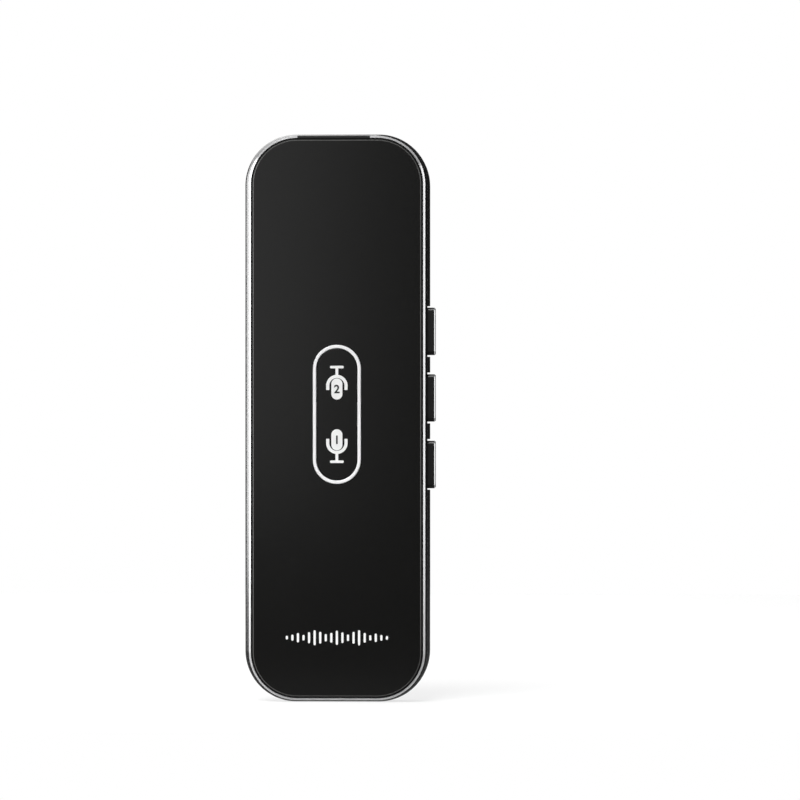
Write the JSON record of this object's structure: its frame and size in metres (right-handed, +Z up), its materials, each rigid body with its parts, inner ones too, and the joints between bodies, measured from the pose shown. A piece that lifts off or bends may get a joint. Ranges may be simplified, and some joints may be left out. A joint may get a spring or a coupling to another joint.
{
  "type": "handheld translator",
  "caption": "Slim upright pocket voice translator with a gloss front, an oval two-way talk key, side buttons, a rear speaker grille and a charging socket.",
  "frame": {"origin": "centre of the flat bottom end, midway through the case", "axes": "+Z up along the length, front face towards -Y, side buttons on +X"},
  "size_m": [0.047, 0.0113, 0.14],
  "materials": {
    "polished_black_metal": "black anodised, polished, with a bright cut bevel round the front edge",
    "black_metal": "black anodised, smooth, with a bright cut bevel round the rear edge",
    "textured_metal": "fine-blasted, satin black anodised, with a rounded edge",
    "black_glass_panel": "high gloss black panel, polished flat",
    "gloss_key": "high gloss black with white symbols",
    "chrome_trim": "bright polished plating",
    "button_plastic": "black, smooth, with a bright edge",
    "black_plastic": "satin black moulding",
    "white_plastic": "natural moulding",
    "clear_plastic": "clear moulded rod",
    "silicone": "soft grey-black silicone",
    "adhesive": "thin black double-sided tape",
    "steel": "plated steel",
    "circuit_board": "dark green solder mask",
    "aluminium_can": "bare drawn can",
    "battery_foil": "satin laminated foil pouch",
    "wire_sleeve": "thin coloured wire sleeve",
    "dust_mesh": "fine black woven dust mesh",
    "foam": "closed-cell foam",
    "copper": "plated copper alloy",
    "cone_film": "thin pressed film",
    "capacitor_ceramic": "small ceramic blocks with a matte face",
    "chip_plastic": "moulded chip package"
  },
  "bodies": {
    "case": {"front_housing": "polished_black_metal", "side_frame": "black_metal", "antenna_window": "black_plastic", "rear_cover": "textured_metal", "front_panel": "black_glass_panel", "panel_tape": "adhesive", "key_ring": "chrome_trim", "rocker_pin": "steel", "pivot_bracket": "white_plastic", "bracket_screws": "steel", "key_mat": "silicone", "housing_screws": "steel", "board_screws": "steel", "main_board": "circuit_board", "charging_socket": "steel", "socket_tongue": "black_plastic", "bottom_microphone": "aluminium_can", "top_microphone": "aluminium_can", "bottom_microphone_boot": "silicone", "top_microphone_boot": "silicone", "battery_cell": "battery_foil", "battery_tape": "adhesive", "battery_circuit": "circuit_board", "battery_leads": "wire_sleeve", "battery_plug": "white_plastic", "battery_header": "white_plastic", "speaker_mesh": "dust_mesh", "speaker_gasket": "foam", "speaker_basket": "black_plastic", "speaker_yoke": "steel", "speaker_magnet": "steel", "voice_coil": "copper", "speaker_cone": "cone_film", "speaker_contacts": "copper", "bluetooth_antenna": "copper", "light_guide": "clear_plastic", "status_lamp": "white_plastic", "shield_can": "steel", "board_capacitors": "capacitor_ceramic", "system_chip": "chip_plastic", "crystal": "aluminium_can", "memory_chip": "chip_plastic", "amplifier_chip": "chip_plastic", "charger_chip": "chip_plastic", "power_inductor": "chip_plastic", "power_switch": "steel", "volume_down_switch": "steel", "volume_up_switch": "steel"},
    "rocker": {"rocker_key": "gloss_key"},
    "power": {"power_button": "button_plastic", "power_plunger": "white_plastic"},
    "volume_down": {"volume_down_button": "button_plastic", "volume_down_plunger": "white_plastic"},
    "volume_up": {"volume_up_button": "button_plastic", "volume_up_plunger": "white_plastic"}
  },
  "joints": [
    {"name": "talk_rocker", "type": "hinge", "parent": "case", "child": "rocker", "pos_m": [0, -0.0036, 0.0709], "axis": [1, 0, 0], "range_deg": [-1.6, 1.6], "stiffness_Nm_per_rad": 0.9, "deforming": ["key_mat"]},
    {"name": "power_press", "type": "slide", "parent": "case", "child": "power", "axis": [-1, 0, 0], "range_m": [0, 0.0003], "stiffness_N_per_m": 4000},
    {"name": "volume_down_press", "type": "slide", "parent": "case", "child": "volume_down", "axis": [-1, 0, 0], "range_m": [0, 0.0003], "stiffness_N_per_m": 4000},
    {"name": "volume_up_press", "type": "slide", "parent": "case", "child": "volume_up", "axis": [-1, 0, 0], "range_m": [0, 0.0003], "stiffness_N_per_m": 4000}
  ]
}
